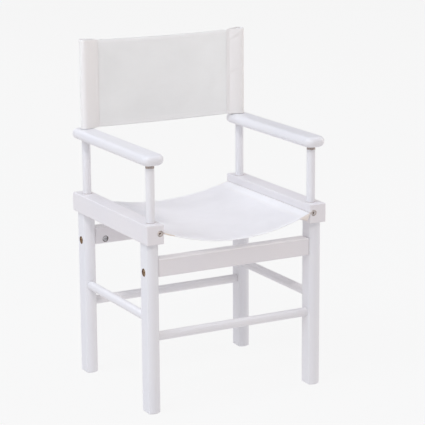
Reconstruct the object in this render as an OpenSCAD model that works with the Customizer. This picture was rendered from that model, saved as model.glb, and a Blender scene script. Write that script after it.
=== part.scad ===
// Director's armchair with a rigid bolted wooden frame, a canvas seat sling and a slip-on canvas back.
// Frame: +Z up, the front faces -Y, the sitter's left is +X, origin on the floor under the middle.

/* [Legs] */
// Distance of each leg's axis from the middle, across the chair
leg_x = 221; // [212:1:232]
// Distance of each leg's axis from the middle, front to back
leg_y = 177; // [160:1:185]
// Diameter of the round legs
leg_d = 45; // [42:1:47]
// Distance of the flats on a leg's outer and inner sides from the leg's axis
leg_flat = 15.5; // [14:0.5:17]
// Height of the legs, up to the underside of the rails
leg_h = 417; // [400:1:440]
// Radius that eases the bottom edge of a leg
leg_foot_r = 4.5; // [2:0.5:6]

/* [Side rails] */
// Distance of each rail's middle from the middle of the chair
rail_x = 220; // [212:1:228]
// Width of a rail
rail_w = 44; // [42:1:50]
// Height of a rail
rail_h = 47; // [44:1:56]
// Length of a rail
rail_l = 420; // [404:1:440]
// Radius that eases the edges of a rail
rail_edge_r = 2.5; // [1:0.5:4]
// Diameter of the keyhole channel that holds a seat rod
channel_d = 14; // [13.5:0.25:15]
// Distance of the channel's axis from the rail's inner face
channel_in = 10; // [9.5:0.25:11]
// Distance of the channel's axis below the rail's top
channel_drop = 21; // [21:0.5:24]
// Width of the slot from the channel to the rail's inner face
slot_w = 3; // [2.5:0.25:4]

/* [Aprons and stretchers] */
// Thickness of an apron
apron_t = 35; // [30:1:36]
// Height of an apron
apron_h = 43; // [40:1:50]
// Height of an apron's lower edge above the floor
apron_z = 334; // [320:1:345]
// Diameter of the stretchers
stretcher_d = 22; // [18:1:24]
// Height of the front and rear stretchers
cross_z = 186; // [150:1:200]
// Height of the side stretchers
side_z = 231; // [215:1:260]
// Depth that a stretcher enters a leg
stretcher_in = 14; // [10:1:16]

/* [Posts and armrests] */
// Distance of the posts and armrests from the middle of the chair
post_x = 217.5; // [212:0.5:224]
// Distance of the front posts in front of the middle
post_front_y = 179; // [170:1:182]
// Distance of the rear posts behind the middle
post_rear_y = 176; // [170:1:182]
// Diameter of the posts
post_d = 21; // [18:0.5:22]
// Width of an armrest
arm_w = 57; // [50:1:64]
// Thickness of an armrest
arm_t = 26; // [24:1:30]
// Length of an armrest
arm_l = 420; // [404:1:440]
// Height of an armrest's top
arm_top = 628; // [600:1:660]
// Corner radius of an armrest, seen from above
arm_corner_r = 22; // [16:1:26]

/* [Canvas] */
// Height of the sleeves' tops, the highest point of the chair
cover_top = 850; // [820:1:880]
// Distance of the sleeves' seams from the middle of the chair
seam_x = 183; // [170:1:190]
// Thickness of the folded canvas
canvas_t = 1.2; // [1:0.1:1.6]
// Depth that the seat sags between the rails
seat_sag = 36; // [15:1:45]
// Length of the seat sling, front to back
seat_l = 415; // [380:1:418]
// Diameter of the rods in the seat's hems
rod_d = 5; // [4.5:0.25:6]

/* [Fasteners] */
// Height of the apron bolts
bolt_z = 346; // [345:0.5:348]
// Diameter of a bolt's shank
bolt_d = 8; // [6:1:8]
// Diameter of a bolt's head
bolt_head_d = 15; // [13:0.5:16]
// Diameter of the recess for a bolt's head
recess_d = 18.5; // [17:0.5:20]
// Depth of that recess below the leg's flat
recess_deep = 5; // [3.5:0.5:6]
// Distance of a barrel nut from the leg's axis
nut_in = 43; // [38:1:48]
// Diameter of a barrel nut
nut_d = 14; // [12:0.5:15]
// Diameter of the locating dowels in the aprons
apron_pin_d = 8; // [6:1:8]
// Diameter of the dowels between legs and rails
rail_pin_d = 10; // [8:1:10]

/* [Hidden] */
$fn = 96;

left = 1;          // the sitter's left, +X
right = -1;
front = -1;        // the front, -Y
rear = 1;
glue_gap = 0.1;    // radial room around a glued dowel
joint_gap = 0.25;  // radial room around a stretcher in its bore
past = 1;          // how far a cutting solid runs past the face it cuts

leg_r = leg_d / 2;
leg_in_x = leg_x - leg_flat;
leg_edge_r = 6;            // radius of the edges between a leg's flats and its round
leg_edge_past = 0.25;      // those edges run this far past the round, so they cross it cleanly
rail_z = leg_h + rail_h / 2;
rail_top = leg_h + rail_h;
rail_in_x = rail_x - rail_w / 2;
channel_x = rail_in_x + channel_in;
channel_z = rail_top - channel_drop;
post_socket = 12;          // depth of a post's hole in the rail, above the channel
arm_z = arm_top - arm_t / 2;
arm_bottom = arm_top - arm_t;
arm_socket = 16;           // depth of the front post's hole in the armrest
post_below_cover = 3;      // the rear post ends this far below the sleeve's top
apron_y = leg_y;
apron_edge_r = 4;          // eases all of an apron's edges

bolt_seat_x = leg_x + leg_flat - recess_deep;
bolt_head_t = 3;
bolt_end_x = leg_x - nut_in - 8;
bolt_room = 0.4;           // radial room around the bolt in wood
hex_key = 5.77;            // corner-to-corner size of the 5 mm key socket
hex_deep = 2.2;
nut_l = 28;
nut_room = 0.8;            // radial room around a barrel nut
nut_set_in = 1.5;          // the nut's slotted end lies this far inside the apron's inner face
nut_slot_w = 1.6;
nut_slot_deep = 1.2;
apron_pin_z = bolt_z + 18;
apron_pin_l = 38;
apron_pin_end_x = leg_in_x + apron_pin_l / 2;
rail_pin_x = rail_x + 3;   // clear of the channel
rail_pin_l = 50;
rail_pin_up = 25;          // length of the dowel inside the rail

ring_r = rod_d / 2 + 4.1;  // outside of the hem, rolled three times around a rod
rod_gap = 0.05;
rod_in = 3;                // a rod ends this far inside the canvas
seat_front_y = -209.5;     // all but flush with the ends of the rails
seat_fall_x = rail_in_x - 4;   // the sling is level up to here and sags between
seat_steps = 32;
sleeve_room = 0.5;         // radial room between a sleeve and its post
sleeve_rest = 0.4;         // the sleeves hang this far above the armrests
cover_bottom = arm_top + sleeve_rest;
panel_short = 4;           // the panel's top edge lies this far below the sleeves' tops
panel_rise = 1.5;          // and its bottom edge this far above their bottoms

function sag_z(x) = channel_z - seat_sag * (1 - pow(x / seat_fall_x, 2));

// ---- shared shapes ----

module bar_x(r, x0, x1, y, z) translate([x0, y, z]) rotate([0, 90, 0]) cylinder(h = x1 - x0, r = r);

module bar_y(r, y0, y1, x, z) translate([x, y1, z]) rotate([90, 0, 0]) cylinder(h = y1 - y0, r = r);

// a rectangle with arcs at its corners, centred
module round_rect(w, h, r) {
    square([w - 2 * r, h], center = true);
    square([w, h - 2 * r], center = true);
    for (sx = [-1, 1], sy = [-1, 1]) translate([sx * (w / 2 - r), sy * (h / 2 - r)]) circle(r);
}

// a box with every edge eased, centred
module eased_box(w, l, h, r) {
    intersection() {
        linear_extrude(h, center = true) round_rect(w, l, r);
        rotate([90, 0, 0]) linear_extrude(l, center = true) round_rect(w, h, r);
        rotate([90, 0, 90]) linear_extrude(w, center = true) round_rect(l, h, r);
    }
}

// ---- frame ----

// the outline of a leg from its axis out, with an eased foot
module leg_half(r) {
    square([r - leg_foot_r, leg_h]);
    translate([0, leg_foot_r]) square([r, leg_h - leg_foot_r]);
    intersection() {
        translate([r - leg_foot_r, leg_foot_r]) circle(leg_foot_r);
        square([r, leg_h]);
    }
}

// the outline of a leg in plan: round, with two flats and a softened edge beside each
module leg_plan() {
    edge_x = leg_flat - leg_edge_r;
    edge_out = leg_r - leg_edge_r + leg_edge_past;
    edge_y = sqrt(pow(edge_out, 2) - pow(edge_x, 2));
    square([2 * leg_r * edge_x / edge_out, 2 * leg_d], center = true);
    square([2 * leg_flat, 2 * edge_y], center = true);
    for (x = [-edge_x, edge_x], y = [-edge_y, edge_y]) translate([x, y]) circle(leg_edge_r);
}

module leg(side, end) {
    color("white") difference() {
        translate([side * leg_x, end * leg_y, 0]) intersection() {
            rotate_extrude() leg_half(leg_r);
            linear_extrude(leg_h) leg_plan();
            rotate([90, 0, 0]) linear_extrude(2 * leg_d, center = true) {
                leg_half(leg_flat);
                mirror([1, 0]) leg_half(leg_flat);
            }
        }
        mirror([side < 0 ? 1 : 0, 0, 0]) mirror([0, end < 0 ? 1 : 0, 0]) leg_holes();
    }
}

// the holes of the leg at +X, +Y
module leg_holes() {
    bar_x(bolt_d / 2 + bolt_room, leg_x - leg_d, leg_x + leg_d, leg_y, bolt_z);
    bar_x(recess_d / 2, bolt_seat_x, leg_x + leg_d, leg_y, bolt_z);
    bar_x(apron_pin_d / 2 + glue_gap, leg_x - leg_d, apron_pin_end_x, leg_y, apron_pin_z);
    bar_x(stretcher_d / 2 + joint_gap, leg_x - leg_d, leg_in_x + stretcher_in, leg_y, cross_z);
    bar_y(stretcher_d / 2 + joint_gap, leg_y - leg_d, leg_y - leg_r + stretcher_in, leg_x, side_z);
    translate([rail_pin_x, leg_y, leg_h - (rail_pin_l - rail_pin_up)])
        cylinder(h = rail_pin_l, r = rail_pin_d / 2 + glue_gap);
}

module side_rail(side) {
    color("white") difference() {
        translate([side * rail_x, 0, rail_z]) eased_box(rail_w, rail_l, rail_h, rail_edge_r);
        bar_y(channel_d / 2, -rail_l, rail_l, side * channel_x, channel_z);
        translate([side * (channel_x - channel_in), 0, channel_z])
            cube([2 * channel_in, 2 * rail_l, slot_w], center = true);
        for (y = [-post_front_y, post_rear_y])
            translate([side * post_x, y, rail_top - post_socket])
                cylinder(h = 2 * post_socket, r = post_d / 2 + glue_gap);
        for (y = [-leg_y, leg_y])
            translate([side * rail_pin_x, y, leg_h - past])
                cylinder(h = rail_pin_up + past, r = rail_pin_d / 2 + glue_gap);
    }
}

module cross_stretcher(end) {
    half = leg_in_x + stretcher_in;
    color("white") bar_x(stretcher_d / 2, -half, half, end * leg_y, cross_z);
}

module side_stretcher(side) {
    half = leg_y - leg_r + stretcher_in;
    color("white") bar_y(stretcher_d / 2, -half, half, side * leg_x, side_z);
}

module apron(end) {
    color("white") difference() {
        translate([0, end * apron_y, apron_z + apron_h / 2])
            eased_box(2 * leg_in_x, apron_t, apron_h, apron_edge_r);
        for (side = [left, right]) mirror([side < 0 ? 1 : 0, 0, 0]) {
            bar_x(bolt_d / 2 + bolt_room, bolt_end_x - 2, leg_x, end * leg_y, bolt_z);
            bar_x(apron_pin_d / 2 + glue_gap, apron_pin_end_x - apron_pin_l - past, leg_x,
                  end * leg_y, apron_pin_z);
            nut_bore(end);
        }
    }
}

// the blind cross bore for a barrel nut, from the apron's inner face, at +X
module nut_bore(end) {
    inner = apron_y - apron_t / 2;
    mirror([0, end < 0 ? 1 : 0, 0])
        bar_y(nut_d / 2 + nut_room, inner - past, inner + nut_set_in + nut_l + 0.5, leg_x - nut_in, bolt_z);
}

module post_front(side) {
    bottom = rail_top - post_socket;
    color("white") translate([side * post_x, -post_front_y, bottom])
        cylinder(h = arm_bottom + arm_socket - bottom, d = post_d);
}

module post_rear(side) {
    bottom = rail_top - post_socket;
    top = cover_top - post_below_cover;
    ease = 2;
    color("white") translate([side * post_x, post_rear_y, bottom]) rotate_extrude() {
        square([post_d / 2 - ease, top - bottom]);
        square([post_d / 2, top - bottom - ease]);
        intersection() {
            translate([post_d / 2 - ease, top - bottom - ease]) circle(ease);
            square([post_d, top - bottom]);
        }
    }
}

// the section across an armrest: a slab with half-round sides
module bullnose(w) {
    square([w - arm_t, arm_t], center = true);
    for (s = [-1, 1]) translate([s * (w - arm_t) / 2, 0]) circle(arm_t / 2);
}

module armrest(side) {
    color("white") difference() {
        translate([side * post_x, 0, arm_z]) {
            rotate([90, 0, 0]) linear_extrude(arm_l - 2 * arm_corner_r, center = true) bullnose(arm_w);
            rotate([90, 0, 90]) linear_extrude(arm_w - 2 * arm_corner_r, center = true) bullnose(arm_l);
            for (sx = [-1, 1], sy = [-1, 1])
                translate([sx * (arm_w / 2 - arm_corner_r), sy * (arm_l / 2 - arm_corner_r), 0])
                    rotate_extrude() intersection() {
                        bullnose(2 * arm_corner_r);
                        translate([0, -arm_t / 2]) square([arm_corner_r, arm_t]);
                    }
        }
        translate([side * post_x, post_rear_y, arm_bottom - past])
            cylinder(h = arm_t + 2 * past, r = post_d / 2 + glue_gap);
        translate([side * post_x, -post_front_y, arm_bottom - past])
            cylinder(h = arm_socket + past, r = post_d / 2 + glue_gap);
    }
}

// ---- canvas ----

module seat_sling() {
    xs = [for (i = [0:seat_steps]) -seat_fall_x + 2 * seat_fall_x * i / seat_steps];
    top = concat([[-channel_x, channel_z + canvas_t]], [for (x = xs) [x, sag_z(x) + canvas_t]],
                 [[channel_x, channel_z + canvas_t]]);
    low = concat([[channel_x, channel_z - canvas_t]],
                 [for (i = [seat_steps:-1:0]) [xs[i], sag_z(xs[i]) - canvas_t]],
                 [[-channel_x, channel_z - canvas_t]]);
    back_y = seat_front_y + seat_l;
    color("ivory") difference() {
        union() {
            translate([0, back_y, 0]) rotate([90, 0, 0]) linear_extrude(seat_l) polygon(concat(top, low));
            for (s = [left, right]) bar_y(ring_r, seat_front_y, back_y, s * channel_x, channel_z);
        }
        for (s = [left, right])
            bar_y(rod_d / 2 + rod_gap, seat_front_y - past, back_y + past, s * channel_x, channel_z);
    }
}

module seat_rod(side) {
    low_y = seat_front_y + rod_in;
    color("saddlebrown") bar_y(rod_d / 2, low_y, low_y + seat_l - 2 * rod_in, side * channel_x, channel_z);
}

// a loop of canvas around a post, drawn in to the seam; grow is how far it stands off the post
module sleeve_outline(grow, tip) {
    r = post_d / 2 + grow;
    lean = asin((r - tip) / (post_x - seam_x));
    translate([post_x, 0]) circle(r);
    polygon([
        [post_x, 0],
        [post_x - r * sin(lean), r * cos(lean)],
        [seam_x, tip],
        [seam_x, -tip],
        [post_x - r * sin(lean), -r * cos(lean)]
    ]);
}

module back_cover() {
    panel_z = cover_bottom + panel_rise;
    color("whitesmoke") translate([0, post_rear_y, 0]) {
        translate([-seam_x - past, -canvas_t, panel_z])
            cube([2 * (seam_x + past), 2 * canvas_t, cover_top - panel_short - panel_z]);
        for (side = [left, right]) mirror([side < 0 ? 1 : 0, 0, 0])
            translate([0, 0, cover_bottom]) linear_extrude(cover_top - cover_bottom) difference() {
                sleeve_outline(sleeve_room + canvas_t, canvas_t);
                intersection() {
                    sleeve_outline(sleeve_room, 0.1);
                    translate([seam_x + 6, -post_d]) square([2 * post_d + post_x - seam_x, 2 * post_d]);
                }
            }
    }
}

// ---- fasteners ----

// one child drawn at +X, +Y is repeated at the four corners
module four_corners() {
    for (side = [left, right], end = [front, rear])
        mirror([side < 0 ? 1 : 0, 0, 0]) mirror([0, end < 0 ? 1 : 0, 0]) children();
}

module apron_bolts() {
    color("goldenrod") four_corners() difference() {
        union() {
            bar_x(bolt_d / 2, bolt_end_x, bolt_seat_x + past, leg_y, bolt_z);
            bar_x(bolt_head_d / 2, bolt_seat_x, bolt_seat_x + bolt_head_t, leg_y, bolt_z);
        }
        translate([bolt_seat_x + bolt_head_t - hex_deep, leg_y, bolt_z]) rotate([0, 90, 0])
            cylinder(h = 2 * hex_deep, d = hex_key, $fn = 6);
    }
}

module barrel_nuts() {
    slot_y = apron_y - apron_t / 2 + nut_set_in;
    color("silver") four_corners() difference() {
        bar_y(nut_d / 2, slot_y, slot_y + nut_l, leg_x - nut_in, bolt_z);
        bar_x(bolt_d / 2 + glue_gap / 2, leg_x - nut_in - nut_d, leg_x - nut_in + nut_d, leg_y, bolt_z);
        translate([leg_x - nut_in, slot_y, bolt_z])
            cube([2 * nut_d, 2 * nut_slot_deep, nut_slot_w], center = true);
    }
}

module apron_dowels() {
    color("burlywood") four_corners()
        bar_x(apron_pin_d / 2, apron_pin_end_x - apron_pin_l, apron_pin_end_x, leg_y, apron_pin_z);
}

module rail_dowels() {
    color("burlywood") four_corners()
        translate([rail_pin_x, leg_y, leg_h - (rail_pin_l - rail_pin_up)])
            cylinder(h = rail_pin_l, d = rail_pin_d);
}

leg(left, front);  // leg_front_left
leg(right, front);  // leg_front_right
leg(left, rear);  // leg_rear_left
leg(right, rear);  // leg_rear_right
side_rail(left);  // side_rail_left
side_rail(right);  // side_rail_right
side_stretcher(left);  // side_stretcher_left
side_stretcher(right);  // side_stretcher_right
cross_stretcher(front);  // front_stretcher
cross_stretcher(rear);  // rear_stretcher
apron(front);  // front_apron
apron(rear);  // rear_apron
post_front(left);  // post_front_left
post_front(right);  // post_front_right
post_rear(left);  // post_rear_left
post_rear(right);  // post_rear_right
armrest(left);  // armrest_left
armrest(right);  // armrest_right
seat_sling();
seat_rod(left);  // seat_rod_left
seat_rod(right);  // seat_rod_right
back_cover();
apron_bolts();
barrel_nuts();
apron_dowels();
rail_dowels();
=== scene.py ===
"""Looks of the director's armchair: canvas back and seat, painted wood and fasteners."""

import math

import bmesh
import bpy
import numpy as np
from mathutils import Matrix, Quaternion, Vector, noise


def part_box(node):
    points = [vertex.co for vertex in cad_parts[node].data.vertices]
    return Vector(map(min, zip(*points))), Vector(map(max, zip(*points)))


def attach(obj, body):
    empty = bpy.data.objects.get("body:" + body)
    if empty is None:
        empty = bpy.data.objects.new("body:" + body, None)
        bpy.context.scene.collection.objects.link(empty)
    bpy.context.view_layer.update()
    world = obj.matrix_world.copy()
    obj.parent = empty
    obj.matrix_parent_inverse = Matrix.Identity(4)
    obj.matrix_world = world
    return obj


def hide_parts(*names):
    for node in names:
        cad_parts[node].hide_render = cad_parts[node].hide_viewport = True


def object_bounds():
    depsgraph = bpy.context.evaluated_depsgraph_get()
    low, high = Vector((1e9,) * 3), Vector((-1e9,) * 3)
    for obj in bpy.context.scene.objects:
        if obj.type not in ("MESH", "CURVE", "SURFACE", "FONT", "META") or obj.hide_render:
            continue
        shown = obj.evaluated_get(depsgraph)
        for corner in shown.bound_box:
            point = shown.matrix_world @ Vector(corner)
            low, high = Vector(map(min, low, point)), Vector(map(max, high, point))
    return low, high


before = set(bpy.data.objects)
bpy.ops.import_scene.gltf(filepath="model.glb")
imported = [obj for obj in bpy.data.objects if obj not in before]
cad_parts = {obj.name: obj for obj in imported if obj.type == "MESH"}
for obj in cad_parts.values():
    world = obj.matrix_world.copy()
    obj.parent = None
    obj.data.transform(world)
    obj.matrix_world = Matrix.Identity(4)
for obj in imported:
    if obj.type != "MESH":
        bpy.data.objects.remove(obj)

MM = 0.001
cad_low, cad_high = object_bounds()
scene = bpy.context.scene

# ---- the view ----

VIEW_AZIMUTH = math.radians(-28.264)
VIEW_ELEVATION = math.radians(13.447)
VIEW_ROLL = math.radians(-0.375)
VIEW_DISTANCE = 4.3724
VIEW_TARGET = Vector((0.0422, 0.0, 0.42037))
LENS_MM = 149.17
SENSOR_MM = 36.0


def make_camera():
    data = bpy.data.cameras.new("camera")
    data.lens = LENS_MM
    data.sensor_width = SENSOR_MM
    camera = bpy.data.objects.new("camera", data)
    scene.collection.objects.link(camera)
    back = Vector((math.sin(VIEW_AZIMUTH) * math.cos(VIEW_ELEVATION),
                   -math.cos(VIEW_AZIMUTH) * math.cos(VIEW_ELEVATION),
                   math.sin(VIEW_ELEVATION)))
    camera.location = VIEW_TARGET + back * VIEW_DISTANCE
    camera.rotation_mode = "QUATERNION"
    camera.rotation_quaternion = (-back).to_track_quat("-Z", "Y") @ Quaternion((0, 0, 1), VIEW_ROLL)
    scene.camera = camera


# ---- materials ----


class Look:
    """A material's node tree, with short calls for the nodes that the looks share."""

    def __init__(self, name, **sockets):
        self.material = bpy.data.materials.new(name)
        self.material.use_nodes = True
        self.tree = self.material.node_tree
        self.shader = self.tree.nodes["Principled BSDF"]
        self.place = self.node("TexCoord").outputs["Object"]
        for socket, value in sockets.items():
            self.shader.inputs[socket.replace("_", " ")].default_value = value

    def node(self, kind, inputs=(), **settings):
        made = self.tree.nodes.new("ShaderNode" + kind)
        for key, value in settings.items():
            setattr(made, key, value)
        for key, value in dict(inputs).items():
            if isinstance(value, bpy.types.NodeSocket):
                self.tree.links.new(value, made.inputs[key])
            else:
                made.inputs[key].default_value = value
        return made

    def math(self, operation, *values):
        return self.node("Math", enumerate(values), operation=operation).outputs[0]

    def axes(self, vector):
        return self.node("SeparateXYZ", {0: vector}).outputs

    def stretched(self, vector, scale):
        return self.node("Mapping", {"Vector": vector, "Scale": scale}).outputs[0]

    def noise(self, vector, scale=1.0, detail=3.0, roughness=0.5):
        inputs = {"Vector": vector, "Scale": scale, "Detail": detail, "Roughness": roughness}
        return self.node("TexNoise", inputs).outputs["Fac"]

    def spread(self, value, low, high, to_low=0.0, to_high=1.0):
        inputs = {0: value, 1: low, 2: high, 3: to_low, 4: to_high}
        return self.node("MapRange", inputs).outputs[0]

    def mix(self, share, first, second):
        made = self.node("Mix", data_type="RGBA")
        for socket, value in ((made.inputs[0], share), (made.inputs[6], first), (made.inputs[7], second)):
            if isinstance(value, bpy.types.NodeSocket):
                self.tree.links.new(value, socket)
            else:
                socket.default_value = value if isinstance(value, float) else (*value, 1.0)
        return made.outputs[2]

    def bump(self, height, depth, strength=1.0, normal=None):
        inputs = {"Height": height, "Distance": depth, "Strength": strength}
        if normal is not None:
            inputs["Normal"] = normal
        return self.node("Bump", inputs).outputs[0]

    def set(self, socket, value):
        self.tree.links.new(value, self.shader.inputs[socket])


PAINT_COOL = (0.764, 0.76, 0.783)
PAINT_WARM = (0.787, 0.778, 0.787)
PAINT_WORN = (0.70, 0.66, 0.62)
# paler paint for faces that look up: painted light on the pieces under the seat
PAINT_LIT_TOP = (0.95, 0.945, 0.95)
# tints of the one white paint per piece, painted light: cooler on the legs, warmer on the flat faces
LEG_LIGHT_TINT = (1.005, 1.015, 1.025)
FLAT_LIGHT_TINT = (1.0, 0.98, 0.975)
BARE_LIGHT = (0.46, 0.29, 0.17)
BARE_DARK = (0.22, 0.12, 0.07)


def bare_wood(look, along):
    """The colour of cut wood, streaked along the grain."""
    scale = [260.0] * 3
    scale[along] = 14.0
    streaks = look.noise(look.stretched(look.place, scale), 1.0, 5.0, 0.6)
    return look.mix(look.spread(streaks, 0.35, 0.65), BARE_DARK, BARE_LIGHT)


def painted_wood(name, along, bare=None, bare_shade=1.0, light_tint=(1.0, 1.0, 1.0), lit_top=0.0):
    """Satin white paint on wood whose grain runs along an axis.

    bare(look) gives the share of unpainted wood, and bare_shade darkens that wood as painted shade in bores,
    recesses and joints. light_tint tints the paint of each piece as painted light.
    lit_top is the share of paler paint on the faces that look up: painted light on the pieces under the
    seat.
    """
    look = Look(name, Coat_Weight=0.22, Coat_Roughness=0.28)
    scale = [240.0] * 3
    scale[along] = 9.0
    grain = look.noise(look.stretched(look.place, scale), 1.0, 4.0, 0.55)
    brush = [900.0] * 3
    brush[along] = 25.0
    strokes = look.noise(look.stretched(look.place, brush), 1.0, 2.0, 0.5)
    patches = look.noise(look.place, 7.0, 3.0, 0.5)
    # Painted light: each piece's paint is tinted for how the light falls on it.
    paints = [[share * value for share, value in zip(light_tint, paint)] for paint in (PAINT_COOL, PAINT_WARM)]
    colour = look.mix(look.spread(patches, 0.3, 0.7), *paints)
    colour = look.mix(look.spread(grain, 0.62, 0.8, 0.0, 0.35), colour, PAINT_WORN)

    smooth = look.node("Bevel", {"Radius": 1.6 * MM}, samples=4).outputs[0]
    flat = look.node("NewGeometry").outputs["Normal"]
    # Painted light: the faces that look up get paler paint.
    colour = look.mix(look.spread(look.axes(flat)[2], 0.3, 0.8, 0.0, lit_top), colour, PAINT_LIT_TOP)
    facing = look.node("VectorMath", {0: smooth, 1: flat}, operation="DOT_PRODUCT").outputs["Value"]
    edges = look.spread(facing, 0.995, 0.90)
    chips = look.spread(look.noise(look.place, 160.0, 4.0, 0.6), 0.45, 0.62)
    worn = look.math("MULTIPLY", look.math("MULTIPLY", edges, chips), 0.5)
    colour = look.mix(worn, colour, PAINT_WORN)

    rough = look.spread(look.noise(look.place, 38.0, 4.0, 0.6), 0.3, 0.7, 0.34, 0.47)
    if bare is not None:
        share = bare(look)
        # Unpainted wood, darkened towards black as painted shade in bores, recesses and joints.
        colour = look.mix(share, colour, look.mix(bare_shade, (0.0, 0.0, 0.0), bare_wood(look, along)))
        rough = look.math("ADD", rough, look.math("MULTIPLY", share, 0.4))
    height = look.math("ADD", look.math("MULTIPLY", grain, 0.7), look.math("MULTIPLY", strokes, 0.3))
    peel = look.noise(look.place, 520.0, 2.0, 0.5)
    look.set("Base Color", colour)
    look.set("Roughness", rough)
    look.set("Normal", look.bump(peel, 0.05 * MM, 0.5, look.bump(height, 0.22 * MM, 0.6)))
    return look.material


def line_distance(look, first, second, centre):
    """Distance from a line along the third axis, and from its mirror images.

    first and second pick the other two axes, and centre is the line's place on them.
    """
    axes = look.axes(look.place)
    gaps = []
    for axis, middle in zip((first, second), centre):
        value = look.math("ABSOLUTE", axes[axis])
        gaps.append(look.math("POWER", look.math("SUBTRACT", value, middle), 2.0))
    return look.math("SQRT", look.math("ADD", *gaps)), axes


def channel_bare(look):
    """Unpainted wood in the rails' keyhole channels, and a thin ragged line round their mouths."""
    low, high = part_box("seat_rod_left")
    middle = (low + high) / 2
    away, axes = line_distance(look, 0, 2, (middle.x, middle.z))
    ragged = look.spread(look.noise(look.place, 700.0, 2.0, 0.5), 0.3, 0.7, -0.1 * MM, 0.3 * MM)
    bore = look.math("LESS_THAN", away, look.math("ADD", ragged, CHANNEL_R))
    level = look.math("ABSOLUTE", look.math("SUBTRACT", axes[2], middle.z))
    slot = look.math("LESS_THAN", level, SLOT_HALF + 0.15 * MM)
    inner = look.math("LESS_THAN", look.math("ABSOLUTE", axes[0]), middle.x)
    return look.math("MAXIMUM", bore, look.math("MULTIPLY", slot, inner))


def joint_line(look, level, least, most):
    """A ragged band from least to most on both sides of a height, for raw wood and for painted shade."""
    away = look.math("ABSOLUTE", look.math("SUBTRACT", look.axes(look.place)[2], level))
    ragged = look.spread(look.noise(look.place, 260.0, 3.0, 0.6), 0.3, 0.7, least, most)
    return look.math("LESS_THAN", away, ragged)


def post_shade_and_bare(look):
    """Painted shade in a dark ring round the tops of the front posts, and a thin raw line at every post's
    foot.
    """
    front = look.math("LESS_THAN", look.axes(look.place)[1], 0.0)
    # the ring under the front armrests is painted shade, at this strength
    under_arm_shade = look.math("MULTIPLY", front, 0.68)
    ring = look.math("MULTIPLY", joint_line(look, arm_low.z, 7.0 * MM, 9.5 * MM), under_arm_shade)
    return look.math("MAXIMUM", ring, joint_line(look, rail_high.z, 0.3 * MM, 0.9 * MM))


def leg_bare(look):
    """The legs' raw bolt recesses, and a thin raw line under the rails."""
    return look.math("MAXIMUM", recess_bare(look), joint_line(look, leg_high.z, 0.6 * MM, 1.6 * MM))


def recess_bare(look):
    """Unpainted wood in the legs' bolt recesses, with a thin raw rim."""
    away, axes = line_distance(look, 1, 2, (bolt_y, bolt_z))
    ragged = look.spread(look.noise(look.place, 500.0, 2.0, 0.5), 0.3, 0.7, -0.3 * MM, 0.5 * MM)
    near = look.math("LESS_THAN", away, look.math("ADD", ragged, RECESS_R + 0.35 * MM))
    outer = look.math("GREATER_THAN", look.math("ABSOLUTE", axes[0]), leg_high.x - RECESS_DEEP)
    return look.math("MULTIPLY", near, outer)


def nut_bore_bare(look):
    """Unpainted wood in the aprons' bores for the barrel nuts, with a thin raw rim."""
    away, axes = line_distance(look, 0, 2, (nut_x, bolt_z))
    ragged = look.spread(look.noise(look.place, 500.0, 2.0, 0.5), 0.3, 0.7, -0.2 * MM, 0.4 * MM)
    near = look.math("LESS_THAN", away, look.math("ADD", ragged, nut_r + NUT_ROOM + 0.2 * MM))
    inner = look.math("LESS_THAN", look.math("ABSOLUTE", axes[1]), apron_high.y - 3 * MM)
    return look.math("MULTIPLY", near, inner)


BACK_CANVAS = (0.965, 0.97, 0.955)
# the sleeves' darker, warmer copy of the canvas: painted shade
SLEEVE_CANVAS_SHADE = (0.925, 0.905, 0.885)
SEAT_CANVAS = (0.965, 0.957, 0.967)
# darker canvas for random slubs, and painted shade along seams and hems
CANVAS_SLUB_AND_SEAM_SHADE = (0.90, 0.87, 0.86)
CANVAS_RAW = (0.80, 0.66, 0.53)
ROD_DARK = (0.055, 0.028, 0.016)
ROD_LIGHT = (0.16, 0.085, 0.045)
THREAD_PITCH = 0.62 * MM
BACK_THROUGH = 0.18       # the share of light that a face of single canvas sends on instead of back
SEAT_THROUGH = 0.27
HEM_THROUGH = 0.06        # the same where the canvas is doubled


def single_cloth(look, axis, half_width, low_edge, high_edge):
    """Where the canvas is a single layer: 1 between its hems and seams, 0 on them."""
    axes = look.axes(look.place)
    limits = ((look.math("ABSOLUTE", axes[0]), half_width),
              (axes[axis], high_edge),
              (look.math("MULTIPLY", axes[axis], -1.0), -low_edge))
    inside = [look.spread(value, limit - 3 * MM, limit + 1 * MM, 1.0, 0.0) for value, limit in limits]
    return look.math("MULTIPLY", look.math("MULTIPLY", inside[0], inside[1]), inside[2])


def sleeve_shade_mask(look):
    """Where the sleeves are, beyond the back's seams: canvas painted darker and warmer there as painted
    shade.
    """
    return look.spread(look.math("ABSOLUTE", look.axes(look.place)[0]), SEAM_X - 5 * MM, SEAM_X - 1 * MM)


def back_single(look):
    return single_cloth(look, 2, SEAM_X - 2 * MM, PANEL_FOOT + HEM, PANEL_TOP - HEM)


def seat_single(look):
    return single_cloth(look, 1, rail_inner - HEM_SIDE, seat_front + HEM, seat_rear - HEM)


def let_light_through(look, colour, share):
    """Sends part of the light that falls on thin cloth on through it."""
    through = look.tree.nodes.new("ShaderNodeBsdfTranslucent")
    total = look.tree.nodes.new("ShaderNodeMixShader")
    look.tree.links.new(share, total.inputs[0])
    look.tree.links.new(colour, through.inputs["Color"])
    look.tree.links.new(look.shader.outputs[0], total.inputs[1])
    look.tree.links.new(through.outputs[0], total.inputs[2])
    look.tree.links.new(total.outputs[0], look.tree.nodes["Material Output"].inputs["Surface"])


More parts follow.
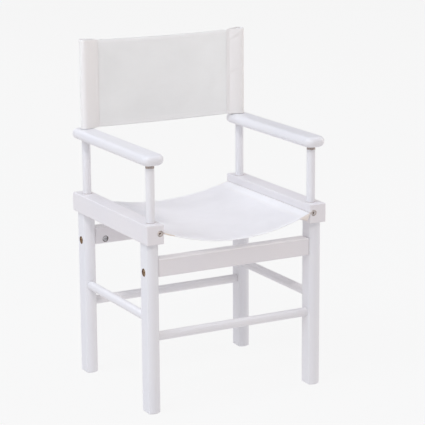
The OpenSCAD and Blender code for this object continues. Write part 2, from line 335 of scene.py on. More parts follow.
def canvas(name, colour, through, single, sleeves=None, raw=None):
    """Plain-woven cotton canvas. The weave follows the cloth's own UV map, which is in metres.

    through is the share of light that passes where single(look) is 1. sleeves(look) marks cloth painted
    darker and warmer as painted shade, and raw(look) marks cloth of another colour.
    """
    look = Look(name, Sheen_Weight=0.25, Sheen_Roughness=0.5, Specular_IOR_Level=0.25)
    cloth = look.node("UVMap", uv_map="cloth").outputs[0]
    slubs = look.noise(look.stretched(cloth, (300.0, 40.0, 1.0)), 1.0, 2.0, 0.5)
    cross_slubs = look.noise(look.stretched(cloth, (40.0, 300.0, 1.0)), 1.0, 2.0, 0.5)
    across, along, _ = look.axes(cloth)
    turns = []
    for value, wander in ((across, cross_slubs), (along, slubs)):
        even = look.math("MULTIPLY", value, math.pi / THREAD_PITCH)
        turns.append(look.math("ADD", even, look.math("MULTIPLY", wander, 1.6)))
    ridges = [look.math("ABSOLUTE", look.math("SINE", turn)) for turn in turns]
    over = look.math("MULTIPLY", *[look.math("SINE", look.math("ADD", turn, math.pi / 2)) for turn in turns])
    warp_up = look.math("GREATER_THAN", over, 0.0)
    height = look.node("Mix", {0: warp_up, 2: ridges[0], 3: ridges[1]}).outputs[0]
    height = look.math("ADD", height, look.math("MULTIPLY", slubs, 0.5))

    clouds = look.noise(look.place, 9.0, 4.0, 0.55)
    colour = look.mix(look.spread(clouds, 0.3, 0.7), [0.965 * c for c in colour], [1.03 * c for c in colour])
    if sleeves is not None:
        colour = look.mix(sleeves(look), colour, SLEEVE_CANVAS_SHADE)
    threads = look.math("ADD", look.math("MULTIPLY", slubs, 0.5), look.math("MULTIPLY", cross_slubs, 0.5))
    colour = look.mix(look.spread(threads, 0.58, 0.75, 0.0, 0.5), colour, CANVAS_SLUB_AND_SEAM_SHADE)
    # Painted shade along the seams and hems, where the cloth is doubled and puckered.
    seam = look.node("Attribute", attribute_name="seam").outputs["Fac"]
    uneven = look.spread(look.noise(look.place, 90.0, 3.0, 0.6), 0.3, 0.7, 0.2, 0.6)
    seam_shade = look.math("MULTIPLY", seam, uneven)
    colour = look.mix(seam_shade, colour, CANVAS_SLUB_AND_SEAM_SHADE)
    if raw is not None:
        colour = look.mix(raw(look), colour, CANVAS_RAW)

    wrinkles = look.noise(look.stretched(look.place, (18.0, 18.0, 30.0)), 1.0, 5.0, 0.55)
    puckers = look.noise(look.place, 210.0, 3.0, 0.55)
    normal = look.bump(wrinkles, 1.6 * MM, 0.35)
    normal = look.bump(look.math("MULTIPLY", puckers, seam), 1.2 * MM, 0.7, normal)
    look.set("Base Color", colour)
    let_light_through(look, colour, look.spread(single(look), 0.0, 1.0, HEM_THROUGH, through))
    look.set("Roughness", look.spread(slubs, 0.3, 0.7, 0.82, 0.95))
    look.set("Normal", look.bump(height, 0.16 * MM, 0.7, normal))
    return look.material


def seat_raw_edge(look):
    """The cut ends of the side hems, at the front and rear of the seat."""
    axes = look.axes(look.place)
    ends = look.math("MAXIMUM",
                     look.math("LESS_THAN", axes[1], seat_front + RAW_EDGE),
                     look.math("GREATER_THAN", axes[1], seat_rear - RAW_EDGE))
    inward = look.math("SUBTRACT", rail_inner, look.math("ABSOLUTE", axes[0]))
    hem = look.math("COMPARE", inward, HEM_SIDE / 2, HEM_SIDE / 2 + 0.5 * MM)
    roll = look.math("LESS_THAN", inward, -LIP)
    hem = look.math("ADD", hem, look.math("MULTIPLY", roll, 0.6))
    shown = look.spread(axes[0], -1 * MM, 1 * MM, 0.9, 0.6)
    frayed = look.spread(look.noise(look.place, 900.0, 3.0, 0.6), 0.3, 0.6, 0.45, 1.0)
    return look.math("MULTIPLY", look.math("MULTIPLY", ends, hem), look.math("MULTIPLY", frayed, shown))


def thread_look():
    look = Look("thread", Sheen_Weight=0.2, Roughness=0.8)
    twist = look.noise(look.place, 1500.0, 2.0, 0.5)
    look.set("Base Color", look.mix(look.spread(twist, 0.3, 0.7), (0.82, 0.81, 0.80), (0.92, 0.92, 0.91)))
    look.set("Normal", look.bump(twist, 0.1 * MM, 0.6))
    return look.material


def rod_look():
    """Dark bare hardwood, streaked along Y."""
    look = Look("rod_wood")
    streaks = look.noise(look.stretched(look.place, (500.0, 18.0, 500.0)), 1.0, 4.0, 0.6)
    look.set("Base Color", look.mix(look.spread(streaks, 0.3, 0.7), ROD_DARK, ROD_LIGHT))
    look.set("Roughness", look.spread(streaks, 0.3, 0.7, 0.6, 0.8))
    look.set("Normal", look.bump(streaks, 0.15 * MM, 0.6))
    return look.material


def dowel_look():
    look = Look("raw_wood", Roughness=0.7)
    look.set("Base Color", bare_wood(look, 2))
    return look.material


def metal_look(name, dark, light, rough, spots):
    """Plated metal with a fine turned finish and dull spots."""
    look = Look(name, Metallic=1.0)
    grit = look.noise(look.place, 1400.0, 3.0, 0.6)
    dull = look.spread(look.noise(look.place, spots, 4.0, 0.6), 0.4, 0.65)
    look.set("Base Color", look.mix(dull, light, dark))
    look.set("Roughness", look.math("ADD", look.spread(grit, 0.3, 0.7, rough, rough + 0.12),
                                    look.math("MULTIPLY", dull, 0.12)))
    look.set("Normal", look.bump(grit, 0.04 * MM, 0.5))
    return look.material


# ---- sizes of the frame, given and read from its parts ----

CHANNEL_R = 7.0 * MM
SLOT_HALF = 1.5 * MM
RECESS_R = 9.25 * MM
RECESS_DEEP = 5.2 * MM
NUT_ROOM = 0.8 * MM

bolt_low, bolt_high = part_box("apron_bolts")
bolt_z = (bolt_low.z + bolt_high.z) / 2
bolt_y = bolt_high.y - (bolt_high.z - bolt_low.z) / 2
leg_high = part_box("leg_front_left")[1]
nut_low, nut_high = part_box("barrel_nuts")
apron_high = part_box("rear_apron")[1]
nut_r = (nut_high.z - nut_low.z) / 2
nut_x = nut_high.x - nut_r

rail_low, rail_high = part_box("side_rail_left")
rail_inner = rail_low.x
arm_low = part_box("armrest_left")[0]
rod_low, rod_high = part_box("seat_rod_left")
rod_x = (rod_low.x + rod_high.x) / 2
rod_z = (rod_low.z + rod_high.z) / 2
rod_r = (rod_high.x - rod_low.x) / 2
seat_low, seat_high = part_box("seat_sling")
seat_front = seat_low.y
seat_rear = seat_high.y
post_low, post_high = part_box("post_rear_left")
post_x = (post_low.x + post_high.x) / 2
post_y = (post_low.y + post_high.y) / 2
post_r = (post_high.x - post_low.x) / 2
cover_low, cover_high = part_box("back_cover")

CLOTH = 0.9 * MM          # thickness of one layer of canvas
LAYER = 1.05 * MM         # from the middle of one layer to the middle of the next
FOLD_STEPS = 4
HEM = 12 * MM             # width of the hems along free edges
HEM_SIDE = 28 * MM        # width of the hems that hold the seat rods
RAW_EDGE = 1.0 * MM
STITCH_IN = 3 * MM        # a stitch row's distance from the raw edge that it holds down


# ---- cloth ----


class Surface:
    """A grid of points, read at any place between 0 and 1 along each side."""

    def __init__(self, points):
        self.points = np.asarray(points, float)

    def at(self, row, column):
        rows, columns = self.points.shape[:2]
        r = min(max(row, 0.0), 1.0) * (rows - 1)
        c = min(max(column, 0.0), 1.0) * (columns - 1)
        i, j = min(int(r), rows - 2), min(int(c), columns - 2)
        a, b = r - i, c - j
        p = self.points
        near = p[i, j] * (1 - b) + p[i, j + 1] * b
        far = p[i + 1, j] * (1 - b) + p[i + 1, j + 1] * b
        return near * (1 - a) + far * a

    def normal(self, row, column, step=0.012):
        up = self.at(row + step, column) - self.at(row - step, column)
        side = self.at(row, column + step) - self.at(row, column - step)
        n = np.cross(side, up)
        return n / max(np.linalg.norm(n), 1e-12)

    def off(self, row, column, distance):
        return self.at(row, column) + self.normal(row, column) * distance


def lengths(points):
    """Distance along each line of points, from its start."""
    steps = np.linalg.norm(np.diff(points, axis=0), axis=1)
    return np.concatenate([[0.0], np.cumsum(steps)])


def add_grid(mesh, grid, seam=None, start=(0.0, 0.0)):
    """Adds a grid of points to a bmesh as quads, with a UV map in metres and a seam value at each point."""
    grid = np.asarray(grid, float)
    rows, columns = grid.shape[:2]
    uv = mesh.loops.layers.uv.get("cloth") or mesh.loops.layers.uv.new("cloth")
    value = mesh.verts.layers.float.get("seam") or mesh.verts.layers.float.new("seam")
    made = [[mesh.verts.new(grid[i, j]) for j in range(columns)] for i in range(rows)]
    across = lengths(grid[rows // 2])
    along = lengths(grid[:, columns // 2])
    if seam is not None:
        for i in range(rows):
            for j in range(columns):
                made[i][j][value] = float(seam[i][j])
    for i in range(rows - 1):
        for j in range(columns - 1):
            face = mesh.faces.new((made[i][j], made[i][j + 1], made[i + 1][j + 1], made[i + 1][j]))
            face.smooth = True
            for loop, (a, b) in zip(face.loops, ((i, j), (i, j + 1), (i + 1, j + 1), (i + 1, j))):
                loop[uv].uv = (start[0] + across[b], start[1] + along[a])


def as_object(mesh, name, *materials):
    data = bpy.data.meshes.new(name)
    mesh.to_mesh(data)
    mesh.free()
    made = bpy.data.objects.new(name, data)
    scene.collection.objects.link(made)
    for material in materials:
        data.materials.append(material)
    return made


def thicken(piece):
    """Gives a one-layer mesh the thickness of the canvas, and rounds it once."""
    solid = piece.modifiers.new("thickness", "SOLIDIFY")
    solid.thickness = CLOTH
    solid.offset = 0.0
    smooth = piece.modifiers.new("smooth", "SUBSURF")
    smooth.levels = smooth.render_levels = 1


def settle(points, pinned, frames, stretch, bend, mass):
    """Lets a grid of cloth hang from its pinned points under gravity, and returns where it comes to rest."""
    mesh = bmesh.new()
    add_grid(mesh, points)
    cloth_piece = as_object(mesh, "settling")
    group = cloth_piece.vertex_groups.new(name="pinned")
    for index, hold in enumerate(np.asarray(pinned).ravel()):
        group.add([index], float(hold), "REPLACE")
    cloth = cloth_piece.modifiers.new("cloth", "CLOTH")
    cloth.settings.quality = 8
    cloth.settings.mass = mass
    cloth.settings.air_damping = 4.0
    cloth.settings.tension_stiffness = stretch
    cloth.settings.compression_stiffness = stretch
    cloth.settings.shear_stiffness = stretch * 0.5
    cloth.settings.bending_stiffness = bend
    cloth.settings.vertex_group_mass = "pinned"
    cloth.collision_settings.use_collision = False
    cloth.point_cache.frame_start = 1
    cloth.point_cache.frame_end = frames
    for step in range(1, frames + 1):
        scene.frame_set(step)
    settled = cloth_piece.evaluated_get(bpy.context.evaluated_depsgraph_get()).to_mesh()
    found = np.zeros(len(settled.vertices) * 3)
    settled.vertices.foreach_get("co", found)
    bpy.data.objects.remove(cloth_piece)
    scene.frame_set(1)
    return found.reshape(np.asarray(points).shape)


def near_line(distance, width):
    """1 on a line and 0 at a width from it."""
    return max(0.0, 1.0 - abs(distance) / width)


def wobble(x, y, z, scale, seed=0.0):
    return noise.noise(Vector((x * scale + seed, y * scale - seed, z * scale + 2 * seed)))


def add_stitches(mesh, route, normals, pitch=3.4 * MM, length=2.5 * MM, radius=0.22 * MM):
    """A row of short threads on a surface, each one dipping into the cloth at both ends."""
    route = np.asarray(route, float)
    along = lengths(route)
    rings, sides = 5, 6
    for number in range(int(along[-1] / pitch)):
        begin = (number + 0.5) * pitch - length / 2
        loops = []
        for ring in range(rings):
            share = ring / (rings - 1)
            at = begin + length * share
            point = np.array([np.interp(at, along, route[:, k]) for k in range(3)])
            up = np.array([np.interp(at, along, normals[:, k]) for k in range(3)])
            up /= np.linalg.norm(up)
            ahead = np.array([np.interp(at + pitch / 2, along, route[:, k]) for k in range(3)]) - point
            ahead = ahead if np.linalg.norm(ahead) > 1e-9 else route[-1] - route[-2]
            ahead /= np.linalg.norm(ahead)
            side = np.cross(up, ahead)
            arch = math.sin(math.pi * share)
            thick = radius * (0.55 + 0.45 * arch)
            middle = point + up * (radius * (1.5 * arch - 0.9))
            loop = []
            for k in range(sides):
                turn = 2 * math.pi * k / sides
                out = side * math.cos(turn) + up * math.sin(turn)
                loop.append(mesh.verts.new(middle + out * thick))
            loops.append(loop)
        for first, second in zip(loops, loops[1:]):
            for k in range(sides):
                face = mesh.faces.new((first[k], first[(k + 1) % sides], second[(k + 1) % sides], second[k]))
                face.smooth = True
        mesh.faces.new(loops[0][::-1])
        mesh.faces.new(loops[-1])


def surface_row(surface, places, distance):
    """Points and normals along a list of (row, column) places, off the surface by a distance."""
    sign = 1.0 if distance >= 0 else -1.0
    points = np.array([surface.off(r, c, distance) for r, c in places])
    normals = np.array([surface.normal(r, c) * sign for r, c in places])
    return points, normals


# ---- the back cover ----

SEAM_X = 183 * MM
PANEL_TOP = cover_high.z - 3.5 * MM
PANEL_FOOT = cover_low.z + 1.4 * MM
TOP_DIP = 3.0 * MM        # the panel's top edge hangs this far below a straight line
FOOT_DIP = 1.5 * MM
SLEEVE_R = post_r + 1.05 * MM
FLAP_OVER = 3 * MM        # the sleeve's folded edge reaches this far past its stitches
CELL = 3.5 * MM


def panel_surface():
    """The canvas between the seams: hung a little slack, and settled by simulation."""
    columns = int(2 * SEAM_X / (4.5 * MM))
    rows = int((PANEL_TOP - PANEL_FOOT) / (4.5 * MM))
    points = np.zeros((rows + 1, columns + 1, 3))
    pinned = np.zeros((rows + 1, columns + 1))
    for i in range(rows + 1):
        up = i / rows
        for j in range(columns + 1):
            side = 2 * j / columns - 1
            middle = 1 - side * side
            x = SEAM_X * side
            z = PANEL_FOOT + (PANEL_TOP - PANEL_FOOT) * up
            z -= middle * (FOOT_DIP + (TOP_DIP - FOOT_DIP) * up)
            bow = 3.0 * MM * middle + 1.2 * MM * wobble(x, 0, z, 9.0, 3.1) * min(1.0, 6 * middle)
            points[i, j] = (x, post_y + bow, z)
            pinned[i, j] = 1.0 if j in (0, columns) else 0.0
    points = settle(points, pinned, 25, 60.0, 1.5, 0.004)
    return Surface(points)


def tangent_angle(centre, point, radius, sign):
    """The angle at which a line from a point touches a circle."""
    away = point - centre
    return math.atan2(away[1], away[0]) + sign * math.acos(radius / np.linalg.norm(away))


def sleeve_outline(side):
    """Points (x, y) of a sleeve's loop, from its folded front edge round the post to the panel."""
    centre = np.array([post_x, post_y])
    front = post_y - LAYER
    flap = [np.array([SEAM_X - FLAP_OVER, front]), np.array([SEAM_X + 4 * MM, front + 0.1 * MM])]
    joined = np.array([SEAM_X + 5 * MM, post_y + 0.1 * MM])
    first = tangent_angle(centre, flap[1], SLEEVE_R, 1)
    last = tangent_angle(centre, joined, SLEEVE_R, -1)
    if first > last:
        first -= 2 * math.pi
    last -= 2 * math.pi * ((last - first) // (2 * math.pi))

    def on_circle(angle):
        return centre + SLEEVE_R * np.array([math.cos(angle), math.sin(angle)])

    outline = [flap[0]]
    steps = max(2, int(np.linalg.norm(on_circle(first) - flap[1]) / CELL))
    for k in range(steps):
        share = k / steps
        bulge = np.array([0.0, -0.9 * MM * math.sin(math.pi * share)])
        outline.append(flap[1] * (1 - share) + on_circle(first) * share + bulge)
    turn = last - first
    arcs = max(8, int(abs(turn) * SLEEVE_R / CELL))
    outline += [on_circle(first + turn * k / arcs) for k in range(arcs)]
    for k in range(steps + 1):
        share = k / steps
        bulge = np.array([0.0, 0.7 * MM * math.sin(math.pi * share)])
        outline.append(on_circle(last) * (1 - share) + joined * share + bulge)
    outline.append(np.array([SEAM_X, post_y]))
    return [np.array([side * p[0], p[1]]) for p in outline]


# Creases in a sleeve: (start along its loop, start height, end along its loop, end height, depth, half
# width), the first four as shares of the loop's length and of the sleeve's height.
CREASES = {
    1: [(0.03, 0.87, 0.33, 0.965, 1.5 * MM, 5 * MM), (0.03, 0.49, 0.27, 0.545, 0.8 * MM, 5 * MM),
        (0.03, 0.955, 0.2, 0.99, -0.8 * MM, 4 * MM)],
    -1: [(0.05, 0.93, 0.25, 0.975, 0.5 * MM, 6 * MM), (0.04, 0.12, 0.2, 0.05, 0.5 * MM, 6 * MM)],
}


def crease_height(side, along, up, loop, tall):
    """How far the cloth stands out at a place on a sleeve because of its creases."""
    total = 0.0
    here = np.array([along * loop, up * tall])
    for a0, u0, a1, u1, depth, width in CREASES[side]:
        start, end = np.array([a0 * loop, u0 * tall]), np.array([a1 * loop, u1 * tall])
        line = end - start
        share = float(np.dot(here - start, line) / np.dot(line, line))
        gap = here - (start + line * min(max(share, 0.0), 1.0))
        across = np.linalg.norm(gap)
        if 0 <= share <= 1:
            across = float(np.cross(line, gap) / np.linalg.norm(line))
        fade = math.sin(math.pi * min(max(share, 0.06), 0.94)) ** 0.6
        total += depth * fade * (math.exp(-(across / width * 2) ** 2)
                                 - 0.7 * math.exp(-((across + width) / width * 2) ** 2))
    return total


def sleeve_points(side, rows):
    """A grid of points of one sleeve, its columns in the order of sleeve_outline."""
    outline = sleeve_outline(side)
    along = lengths(np.array(outline))
    loop = along[-1]
    tall = cover_high.z - cover_low.z
    grid = []
    for i in range(rows + 1):
        up = i / rows
        line = []
        for j, point in enumerate(outline):
            before, after = outline[max(j - 1, 0)], outline[min(j + 1, len(outline) - 1)]
            out = np.array([after[1] - before[1], before[0] - after[0]]) * side
            out /= max(np.linalg.norm(out), 1e-9)
            share = along[j] / loop
            free = min(1.0, share * 8, (1 - share) * 8)
            lift = crease_height(side, share, up, loop, tall)
            lift += 0.35 * MM * wobble(point[0], point[1], up * tall, 40.0, 1.7 * side)
            lift += 0.7 * MM * max(0.0, 1 - up * tall / (9 * MM)) ** 2
            x, y = point + out * lift * free
            top = cover_high.z - 0.5 * MM - (1.6 * MM * max(0.0, 1 - share * 5) if side < 0 else 0.0)
            joins = max(0.0, 1 - (1 - share) * loop / (4 * MM))
            top += (PANEL_TOP - top) * joins
            foot = cover_low.z + 0.2 * MM + (PANEL_FOOT - cover_low.z) * joins
            dip = 0.8 * MM * math.sin(2 * math.pi * share + 0.6) * max(0.0, up - 0.9) * 10
            line.append((x, y, foot + (top - foot) * up - dip * (1 - joins)))
        grid.append(line)
    return np.array(grid)


def build_back_cover(material, thread):
    """The back: a panel with folded hems, a sleeve round each rear post, and its stitching."""
    panel = panel_surface()
    rows = int((PANEL_TOP - PANEL_FOOT) / CELL)
    columns = int(2 * SEAM_X / CELL)
    tall = PANEL_TOP - PANEL_FOOT
    left, right = sleeve_points(1, rows), sleeve_points(-1, rows)
    middle = np.array([[panel.at(i / rows, j / columns) for j in range(1, columns)]
                       for i in range(rows + 1)])
    seam_marks = []
    for i in range(rows + 1):
        edge = 0.3 * max(near_line(i * CELL - (HEM - STITCH_IN), 5 * MM),
                         near_line((rows - i) * CELL - (HEM - STITCH_IN), 5 * MM))
        line = []
        for j in range(right.shape[1] + columns - 1 + left.shape[1]):
            x = abs(right[i, j, 0]) if j < right.shape[1] else 0.0
            inner = j - right.shape[1]
            if 0 <= inner < columns - 1:
                x = abs(middle[i, inner, 0])
            if inner >= columns - 1:
                x = abs(left[i, ::-1][inner - columns + 1, 0])
            line.append(max(edge, near_line(x - SEAM_X, 6 * MM)))
        seam_marks.append(line)
    grid = np.concatenate([right, middle, left[:, ::-1]], axis=1)
    mesh = bmesh.new()
    add_grid(mesh, grid, seam_marks)
    for edge_row, step in ((1.0, -1), (0.0, 1)):
        strip, marks = [], []
        inner = 1 - 8 * MM / SEAM_X
        for k in range(FOLD_STEPS + 1):
            turn = math.pi * k / FOLD_STEPS
            line = []
            for j in range(columns + 1):
                c = 0.5 + (j / columns - 0.5) * inner
                back = -panel.normal(edge_row, c) * (1 - math.cos(turn))
                out = np.array([0.0, 0.0, -step]) * math.sin(turn)
                line.append(panel.at(edge_row, c) + (back + out) * LAYER / 2)
            strip.append(line)
            marks.append([0.2] * (columns + 1))
        for k in range(1, 5):
            row = edge_row + step * HEM / tall * k / 4
            strip.append([panel.off(row, 0.5 + (j / columns - 0.5) * inner, -LAYER)
                          for j in range(columns + 1)])
            marks.append([1.0 if k == 3 else 0.3] * (columns + 1))
        add_grid(mesh, strip, marks, start=(0.4, 0.3 * step))
    cover = as_object(mesh, "back_canvas", material)
    thicken(cover)

    mesh = bmesh.new()
    for edge_row, step in ((1.0, -1), (0.0, 1)):
        row = edge_row + step * (HEM - STITCH_IN) / tall
        places = [(row, 0.02 + 0.96 * j / 160) for j in range(161)]
        add_stitches(mesh, *surface_row(panel, places, CLOTH / 2))
        add_stitches(mesh, *surface_row(panel, places, -(LAYER + CLOTH / 2)))
    for side in (1, -1):
        sleeve = Surface(sleeve_points(side, rows))
        loop = lengths(sleeve.points[0])[-1]
        column = (FLAP_OVER + 0.5 * MM) / loop
        for shift in (0.0, 4 * MM / loop):
            route = np.array([sleeve.at(r / 80, column - shift * 0.62) for r in range(81)])
            front = np.array([[0.0, -1.0, 0.0]] * 81)
            add_stitches(mesh, route + front * CLOTH / 2, front)
        back_route = np.array([sleeve.at(r / 80, 1.0) for r in range(81)])
        behind = np.array([[0.0, 1.0, 0.0]] * 81)
        add_stitches(mesh, back_route + behind * CLOTH / 2, behind)
        for up in (HEM - STITCH_IN, tall - HEM + STITCH_IN):
            places = [(up / tall, (FLAP_OVER + 4 * MM) / loop + (1 - 12 * MM / loop) * j / 80)
                      for j in range(81)]
            add_stitches(mesh, *surface_row(sleeve, places, CLOTH / 2 * -side))
    stitches = as_object(mesh, "back_stitching", thread)
    for piece in (cover, stitches):
        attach(piece, "back_cover")
    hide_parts("back_cover")
    flat_wide = 2 * SEAM_X + 2 * lengths(sleeve_points(1, 2)[0])[-1]
    return cover


# ---- the seat sling ----

SAG_FRONT = 38.5 * MM
SAG_REAR = 29 * MM
LIP = 1.0 * MM            # the cloth hangs free from this far inside the rails' inner faces
HEM_OPEN = {1: 20.0 * MM, -1: 2.6 * MM}   # drop of each side hem's lower layer at the seat's front
HEM_OPEN_LONG = 20 * MM   # that opening dies away over about this length
TURNS = 2.4               # turns of the hem's raw edge round the rod, inside the outer loop
TURN_PITCH = 0.88 * MM
ROLL_OUT = 0.6 * MM       # the rolled hems end this far in front of the seat


def sling_surface():
    """The canvas between the rails: deeper at the front than at the rear, and settled by simulation."""
    half = rail_inner - LIP
    columns = int(2 * half / (5 * MM))
    rows = int((seat_rear - seat_front) / (5 * MM))
    top = rod_z + LAYER / 2
    points = np.zeros((rows + 1, columns + 1, 3))
    pinned = np.zeros((rows + 1, columns + 1))
    for i in range(rows + 1):
        back = i / rows
        sag = SAG_FRONT + (SAG_REAR - SAG_FRONT) * back
        for j in range(columns + 1):
            side = 2 * j / columns - 1
            x = half * side
            y = seat_front + (seat_rear - seat_front) * back
            drop = sag * (1 - abs(side) ** 2.05)
            ripple = 0.8 * MM * wobble(x, y, 0, 11.0, 5.3) * (1 - side ** 4)
            points[i, j] = (x, y, top - drop + ripple)
            pinned[i, j] = 1.0 if j in (0, columns) else 0.0
    points = settle(points, pinned, 25, 60.0, 1.5, 0.006)
    return Surface(points)


def inner_turn(side, y_points):
    """The raw edge of a hem, rolled round the rod inside the loop."""
    steps = 44
    line = []
    for k in range(steps + 1):
        angle = math.radians(150) - 2 * math.pi * TURNS * k / steps
        turn_r = rod_r + 0.12 * MM + CLOTH / 2 + TURN_PITCH * TURNS * k / steps
        line.append((turn_r * math.cos(angle), turn_r * math.sin(angle)))
    return np.array([[(side * (rod_x + px), y, rod_z + pz) for px, pz in line] for y in y_points])


def rod_loop(side, y_points):
    """The canvas from the slot's mouth round the rolled edge and back: rows of points along the seat."""
    loop_r = rod_r + 0.12 * MM + CLOTH / 2 + TURN_PITCH * (TURNS + 1)
    start = rod_x - rail_inner + LIP
    gap = math.asin(LAYER / 2 / loop_r)
    profile = [(-start, LAYER / 2), (-start * 0.75, LAYER / 2)]
    turns = 16
    for k in range(turns + 1):
        angle = math.pi - gap - (2 * math.pi - 2 * gap) * k / turns
        uneven = loop_r + 0.2 * MM * math.sin(2 * angle + 0.6)
        profile.append((uneven * math.cos(angle), uneven * math.sin(angle)))
    profile += [(-start * 0.75, -LAYER / 2), (-start, -LAYER / 2)]
    return np.array([[(side * (rod_x + px), y, rod_z + pz) for px, pz in profile] for y in y_points])


def build_seat(material, thread):
    """The seat: a sling with hems rolled round the rods, folded hems front and rear, and its stitching."""
    sling = sling_surface()
    deep = seat_rear - seat_front
    half = rail_inner - LIP
    rows, columns = int(deep / CELL), int(2 * half / CELL)
    hem_share = HEM_SIDE / (2 * half)
    hem_columns = 8
    y_points = [seat_front + deep * i / rows for i in range(rows + 1)]
    y_points[0] -= ROLL_OUT

    def hem_place(side, share):
        return (1.0 if side > 0 else 0.0) - side * hem_share * share

    def hem_under(side):
        """The hem's return under the seat, from the slot to its raw edge."""
        grid = []
        for i in range(rows + 1):
            opening = HEM_OPEN[side] * (math.exp(-(i * CELL / HEM_OPEN_LONG) ** 1.5) + 0.08)
            line = []
            for k in range(1, hem_columns + 1):
                share = k / hem_columns
                rise = min(1.0, share / 0.3)
                droop = opening * (1 - share) ** 1.1 * rise ** 2 * (3 - 2 * rise)
                line.append(sling.off(i / rows, hem_place(side, share), -LAYER) - np.array([0, 0, droop]))
            grid.append(line)
        return np.array(grid)

    def hem_end(side, edge_row, step):
        """The end hem, folded down over a side hem's open end: lines of points from upper to lower layer."""
        under = hem_under(side)[0 if step > 0 else -1]
        upper = [sling.at(edge_row, hem_place(side, k / hem_columns)) for k in range(hem_columns + 1)]
        lower = [upper[0] - np.array([0, 0, LAYER])] + list(under)
        strip = []
        for k in range(FOLD_STEPS + 3):
            share = k / (FOLD_STEPS + 2)
            bulge = np.array([0, -step * (0.2 * MM + 0.9 * MM * math.sin(math.pi * share)), 0])
            strip.append([a * (1 - share) + b * share + bulge for a, b in zip(upper, lower)])
        return strip

    middle = np.array([[sling.at(i / rows, j / columns) for j in range(columns + 1)]
                       for i in range(rows + 1)])
    right_loop, left_loop = rod_loop(-1, y_points), rod_loop(1, y_points)
    grid = np.concatenate([hem_under(-1)[:, ::-1], right_loop[:, ::-1][:, :-1], middle,
                           left_loop[:, 1:], hem_under(1)], axis=1)
    marks = []
    for i in range(rows + 1):
        ends = max(near_line(i * CELL - (HEM - STITCH_IN), 5 * MM),
                   near_line((rows - i) * CELL - (HEM - STITCH_IN), 5 * MM))
        line = []
        for point in grid[i]:
            inward = rail_inner - abs(point[0])
            along_end = ends if inward > HEM_SIDE else ends * 0.3
            line.append(max(along_end, near_line(inward - HEM_SIDE + STITCH_IN, 6 * MM)))
        marks.append(line)
    mesh = bmesh.new()
    add_grid(mesh, grid, marks)
    for side in (1, -1):
        add_grid(mesh, inner_turn(side, y_points), start=(0.9, 0.1 * side))
        for edge_row, step in ((0.0, 1), (1.0, -1)):
            strip = hem_end(side, edge_row, step)
            faint = [[0.15] * (hem_columns + 1)] * len(strip)
            add_grid(mesh, strip, faint, start=(0.9, 0.3 + 0.05 * side * step))
    for edge_row, step in ((0.0, 1), (1.0, -1)):
        strip, strip_marks = [], []
        inner = 1 - 2 * hem_share - 0.01
        place = [0.5 + (j / columns - 0.5) * inner for j in range(columns + 1)]
        for k in range(FOLD_STEPS + 1):
            turn = math.pi * k / FOLD_STEPS
            out = np.array([0.0, -step, 0.0])
            line = []
            for c in place:
                under = -sling.normal(edge_row, c) * (1 - math.cos(turn))
                line.append(sling.at(edge_row, c) + (under + out * math.sin(turn)) * LAYER / 2)
            strip.append(line)
            strip_marks.append([0.2] * (columns + 1))
        for k in range(1, 5):
            row = edge_row + step * HEM / deep * k / 4
            strip.append([sling.off(row, c, -LAYER) for c in place])
            strip_marks.append([1.0 if k == 3 else 0.3] * (columns + 1))
        add_grid(mesh, strip, strip_marks, start=(0.6, 0.5 * step))
    seat = as_object(mesh, "seat_canvas", material)
    thicken(seat)

    mesh = bmesh.new()
    for side in (1, -1):
        edge = 1.0 if side > 0 else 0.0
        for inset in (STITCH_IN, STITCH_IN + 6 * MM):
            column = edge - side * (HEM_SIDE - inset) / (2 * half)
            places = [(0.005 + 0.99 * i / 160, column) for i in range(161)]
            add_stitches(mesh, *surface_row(sling, places, CLOTH / 2))
            add_stitches(mesh, *surface_row(sling, places, -(LAYER + CLOTH / 2)))
    for edge_row, step in ((0.0, 1), (1.0, -1)):
        row = edge_row + step * (HEM - STITCH_IN) / deep
        places = [(row, hem_share + (1 - 2 * hem_share) * j / 160) for j in range(161)]
        add_stitches(mesh, *surface_row(sling, places, CLOTH / 2))
        add_stitches(mesh, *surface_row(sling, places, -(LAYER + CLOTH / 2)))
    stitches = as_object(mesh, "seat_stitching", thread)
    for piece in (seat, stitches):
        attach(piece, "seat")
    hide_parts("seat_sling")
    return seat


# ---- materials on the CAD nodes ----

X, Y, Z = 0, 1, 2


def dress(material, *nodes):
    for name in nodes:
        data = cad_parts[name].data
        data.materials.clear()
        data.materials.append(material)


def both(start):
    return start + "_left", start + "_right"


def dress_frame():
    # Bare wood on the legs, posts and aprons is darkened as painted shade.
    dress(painted_wood("painted_legs", Z, leg_bare, 0.7, LEG_LIGHT_TINT), *both("leg_front"), *both("leg_rear"))
    dress(painted_wood("painted_rails", Y, channel_bare, 1.0, FLAT_LIGHT_TINT), *both("side_rail"))
    # The stretchers' and aprons' paler upward faces are painted light.
    dress(painted_wood("painted_across", X, lit_top=0.3), "front_stretcher", "rear_stretcher")
    aprons = painted_wood("painted_aprons", X, nut_bore_bare, 0.35, FLAT_LIGHT_TINT, 1.0)
    dress(aprons, "front_apron", "rear_apron")
    dress(painted_wood("painted_lengthways", Y, lit_top=0.3), *both("side_stretcher"))
    dress(painted_wood("painted_armrests", Y), *both("armrest"))
    dress(painted_wood("painted_posts", Z, post_shade_and_bare, 0.7), *both("post_front"), *both("post_rear"))
    dress(rod_look(), *both("seat_rod"))
    dress(dowel_look(), "apron_dowels", "rail_dowels")
    dress(metal_look("brass_bolt", (0.16, 0.10, 0.055), (0.52, 0.39, 0.25), 0.26, 170.0), "apron_bolts")
    dress(metal_look("zinc_nut", (0.26, 0.26, 0.27), (0.60, 0.60, 0.61), 0.32, 300.0), "barrel_nuts")


# ---- the studio ----

PAPER = 0.937             # brightness of the plain floor and backdrop as the camera sees them
PAPER_DIFFUSE = 0.04      # the part of the floor's look that takes light and shadow
ROOM_LIGHT = (0.40, 0.38, 0.385)
FLOOR_LIGHT = (0.85, 0.83, 0.85)


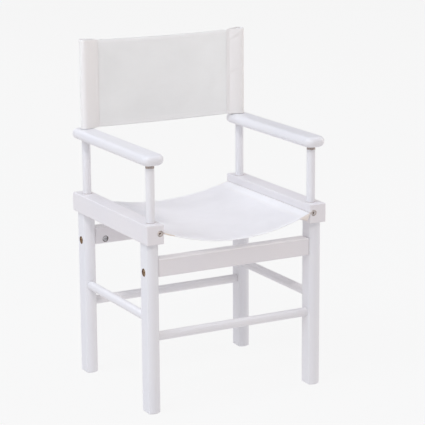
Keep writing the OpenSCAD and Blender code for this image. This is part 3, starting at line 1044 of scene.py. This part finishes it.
def seen_or_felt(tree, seen, felt, glow):
    """Gives a glow one brightness as the camera sees it, and another colour as it lights the chair."""
    path = tree.nodes.new("ShaderNodeLightPath")
    blend = tree.nodes.new("ShaderNodeMix")
    blend.data_type = "RGBA"
    blend.inputs[6].default_value = (*felt, 1.0)
    blend.inputs[7].default_value = (seen, seen, seen, 1.0)
    tree.links.new(path.outputs["Is Camera Ray"], blend.inputs[0])
    tree.links.new(blend.outputs[2], glow.inputs["Color"])
    glow.inputs["Strength"].default_value = 1.0


def make_backdrop():
    world = bpy.data.worlds.new("studio")
    world.use_nodes = True
    scene.world = world
    seen_or_felt(world.node_tree, PAPER, ROOM_LIGHT, world.node_tree.nodes["Background"])
    bpy.ops.mesh.primitive_plane_add(size=80.0, location=(0, 0, cad_low.z))
    floor = bpy.context.object
    floor.name = "floor"
    paper = bpy.data.materials.new("paper")
    paper.use_nodes = True
    tree = paper.node_tree
    shader = tree.nodes["Principled BSDF"]
    shader.inputs["Base Color"].default_value = (PAPER_DIFFUSE, PAPER_DIFFUSE, PAPER_DIFFUSE, 1.0)
    shader.inputs["Roughness"].default_value = 1.0
    shader.inputs["Specular IOR Level"].default_value = 0.0
    glow = tree.nodes.new("ShaderNodeEmission")
    seen_or_felt(tree, PAPER - PAPER_DIFFUSE, FLOOR_LIGHT, glow)
    total = tree.nodes.new("ShaderNodeAddShader")
    tree.links.new(shader.outputs[0], total.inputs[0])
    tree.links.new(glow.outputs[0], total.inputs[1])
    tree.links.new(total.outputs[0], tree.nodes["Material Output"].inputs["Surface"])
    floor.data.materials.append(paper)


def softbox(name, place, size, watts, colour):
    """A square area light, aimed at the middle of the chair."""
    data = bpy.data.lights.new(name, "AREA")
    data.shape = "SQUARE"
    data.size = size
    data.energy = watts
    data.color = colour
    light = bpy.data.objects.new(name, data)
    scene.collection.objects.link(light)
    light.location = place
    light.rotation_mode = "QUATERNION"
    light.rotation_quaternion = (Vector((0, 0, 0.45)) - Vector(place)).to_track_quat("-Z", "Y")


def light_studio():
    softbox("upper_left", (-4.5, -0.7, 4.8), 4.0, 174, (0.78, 0.88, 1.0))
    softbox("upper_right", (4.0, -0.8, 5.0), 4.0, 67, (0.84, 0.88, 1.0))
    softbox("overhead", (-2.0, -0.7, 6.2), 2.5, 47, (0.80, 0.88, 1.0))
    softbox("right", (6.4, -0.5, 2.0), 4.0, 84, (1.0, 0.95, 0.85))
    softbox("rear", (-0.5, 6.0, 3.4), 4.0, 56, (0.95, 0.95, 1.0))
    softbox("key", (-2.6, -4.6, 5.2), 0.8, 104, (1.0, 0.94, 0.90))


make_camera()
scene.view_settings.view_transform = "Standard"
make_backdrop()
light_studio()
dress_frame()
thread = thread_look()
# The sleeves' darker canvas is painted shade.
back_cloth = canvas("back_canvas_cloth", BACK_CANVAS, BACK_THROUGH, back_single, sleeves=sleeve_shade_mask)
build_back_cover(back_cloth, thread)
seat_cloth = canvas("seat_canvas_cloth", SEAT_CANVAS, SEAT_THROUGH, seat_single, raw=seat_raw_edge)
build_seat(seat_cloth, thread)
